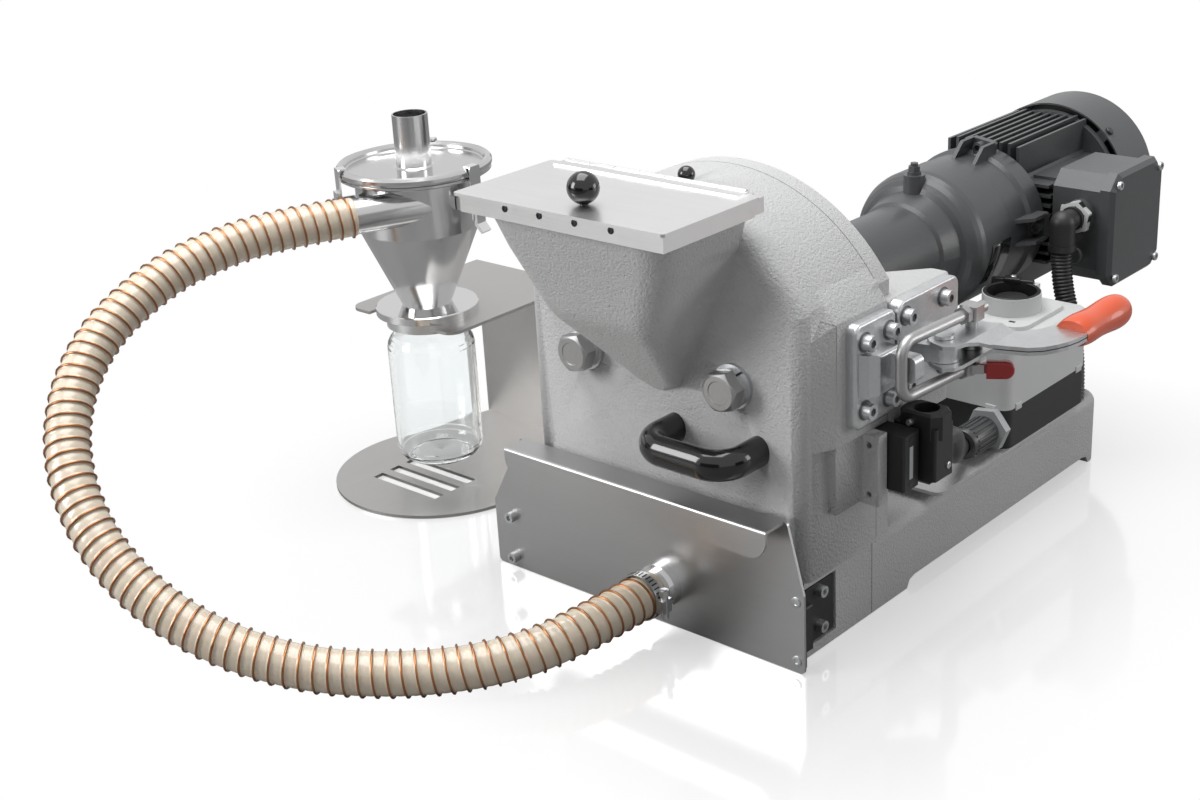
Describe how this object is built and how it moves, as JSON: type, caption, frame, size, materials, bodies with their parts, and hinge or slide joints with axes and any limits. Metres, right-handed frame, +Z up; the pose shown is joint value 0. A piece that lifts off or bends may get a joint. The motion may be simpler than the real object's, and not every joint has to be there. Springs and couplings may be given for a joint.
{
  "type": "disc mill",
  "caption": "Bench disc mill: hinged door with hopper, grinding discs, gearmotor, and a hose to a cyclone with a jar on a stand.",
  "frame": {"origin": "on the bench, at the middle of the drive axis in plan and the front face of the front sheet panel", "axes": "+X to the machine's right seen from the front, +Y back along the drive axis to the motor, +Z up"},
  "size_m": [0.7511, 1.0744, 0.4061],
  "materials": {
    "casting_paint": "light grey textured powder coat",
    "frame_paint": "light grey hammered paint",
    "sheet_steel": "brushed stainless sheet",
    "pale_steel": "fine satin steel",
    "polished_steel": "polished stainless",
    "zinc_steel": "zinc plated",
    "black_phenolic": "glossy black",
    "black_plastic": "matt black",
    "motor_paint": "dark grey semi-gloss",
    "grey_plastic": "light grey satin",
    "hose_skin": "translucent beige with a coppery spiral",
    "orange_grip": "orange satin",
    "red_grip": "dark red dipped",
    "clear_glass": "clear",
    "hard_iron": "ground hardened iron",
    "tool_steel": "turned steel",
    "gland_plastic": "grey",
    "conduit_black": "ribbed black"
  },
  "bodies": {
    "mill": {"machine_frame": "frame_paint", "front_block": "casting_paint", "front_panel": "sheet_steel", "cap_screws_m6": "zinc_steel", "suction_tray": "sheet_steel", "hose_nozzle": "polished_steel", "hose_clamp": "zinc_steel", "interlock_actuator": "black_plastic", "interlock_sensor": "black_plastic", "door": "casting_paint", "door_hinge": "casting_paint", "disc_bolts": "zinc_steel", "bolt_washers": "zinc_steel", "door_handle": "black_phenolic", "hopper_rim": "pale_steel", "lid_hinge": "pale_steel", "lid_stop": "black_phenolic", "fixed_disc": "hard_iron", "door_catch": "zinc_steel", "clamp_base": "zinc_steel", "m8_cap_screws": "zinc_steel", "switch_key": "black_plastic", "safety_switch": "black_plastic", "switch_cable": "black_plastic", "box_gland": "gland_plastic", "control_box": "black_plastic", "control_cover": "grey_plastic", "button_collar": "grey_plastic", "box_bracket": "frame_paint", "gear_housing": "motor_paint", "motor_body": "motor_paint", "fan_cover": "motor_paint", "terminal_box": "motor_paint", "terminal_cover": "motor_paint", "cable_elbow": "black_plastic", "conduit": "conduit_black", "cyclone_body": "polished_steel", "cyclone_lid": "polished_steel", "cyclone_flange": "polished_steel", "jar_ring": "pale_steel", "stand": "sheet_steel", "latch_brackets": "pale_steel", "hose": "hose_skin"},
    "lid": {"hopper_lid": "pale_steel", "lid_leaf": "pale_steel", "lid_knob": "black_phenolic"},
    "gap_collar": {"gap_ring": "zinc_steel"},
    "sleeve": {"bearing_sleeve": "tool_steel"},
    "rotor": {"turning_disc": "hard_iron", "mill_shaft": "tool_steel"},
    "clamp_lever": {"clamp_handle": "zinc_steel", "handle_grip": "orange_grip"},
    "hoop": {"clamp_hoop": "zinc_steel"},
    "release": {"release_lever": "red_grip"},
    "button": {"stop_button": "black_plastic"},
    "fan": {"motor_fan": "black_plastic"},
    "latch_rear": {"latch_a": "pale_steel"},
    "latch_front": {"latch_b": "pale_steel"},
    "latch_right": {"latch_c": "pale_steel"},
    "glass_jar": {"jar": "clear_glass"}
  },
  "joints": [
    {"name": "lid_hinge", "type": "hinge", "parent": "mill", "child": "lid", "pos_m": [0, 0.0205, 0.3809], "axis": [-1, 0, 0], "range_deg": [0, 169]},
    {"name": "gap_turn", "type": "hinge", "parent": "mill", "child": "gap_collar", "pos_m": [0, 0.149, 0.225], "axis": [0, 1, 0], "range_deg": [-135, 210]},
    {"name": "gap_slide", "type": "slide", "parent": "mill", "child": "sleeve", "axis": [0, 1, 0], "range_m": [-0.0019, 0.003]},
    {"name": "mill_spin", "type": "hinge", "parent": "sleeve", "child": "rotor", "pos_m": [0, 0.168, 0.225], "axis": [0, 1, 0], "continuous": true},
    {"name": "clamp_hinge", "type": "hinge", "parent": "mill", "child": "clamp_lever", "pos_m": [0.19, 0.138, 0.24], "axis": [0, 0, -1], "range_deg": [0, 105]},
    {"name": "hoop_pivot", "type": "hinge", "parent": "clamp_lever", "child": "hoop", "pos_m": [0.194, 0.172, 0.24], "axis": [0, 0, -1], "range_deg": [-105, 0]},
    {"name": "release_pivot", "type": "hinge", "parent": "hoop", "child": "release", "pos_m": [0.2036, 0.172, 0.2165], "axis": [-0.5446, 0.8387, 0], "range_deg": [0, 15], "stiffness_Nm_per_rad": 0.05},
    {"name": "stop_press", "type": "slide", "parent": "mill", "child": "button", "axis": [0, 0, -1], "range_m": [0, 0.004], "stiffness_N_per_m": 900},
    {"name": "fan_spin", "type": "hinge", "parent": "mill", "child": "fan", "pos_m": [0, 0.68, 0.225], "axis": [0, 1, 0], "continuous": true},
    {"name": "latch_rear_turn", "type": "hinge", "parent": "mill", "child": "latch_rear", "pos_m": [-0.41617, 0.16767, 0.292], "axis": [-0.8191, -0.5736, 0], "range_deg": [0, 45]},
    {"name": "latch_front_turn", "type": "hinge", "parent": "mill", "child": "latch_front", "pos_m": [-0.40454, 0.03481, 0.292], "axis": [0.9063, -0.4226, 0], "range_deg": [0, 45]},
    {"name": "latch_right_turn", "type": "hinge", "parent": "mill", "child": "latch_right", "pos_m": [-0.29529, 0.11131, 0.292], "axis": [-0.0872, 0.9962, 0], "range_deg": [0, 45]},
    {"name": "jar_turn", "type": "hinge", "parent": "mill", "child": "glass_jar", "pos_m": [-0.372, 0.1046, 0.12], "axis": [0, 0, 1], "range_deg": [0, 120]}
  ],
  "couplings": [
    {"joint": "gap_slide", "follows": "gap_turn", "m_per_rad": 0.0008034},
    {"joint": "hoop_pivot", "follows": "clamp_hinge", "ratio": -1},
    {"joint": "fan_spin", "follows": "mill_spin", "ratio": 3.2}
  ]
}
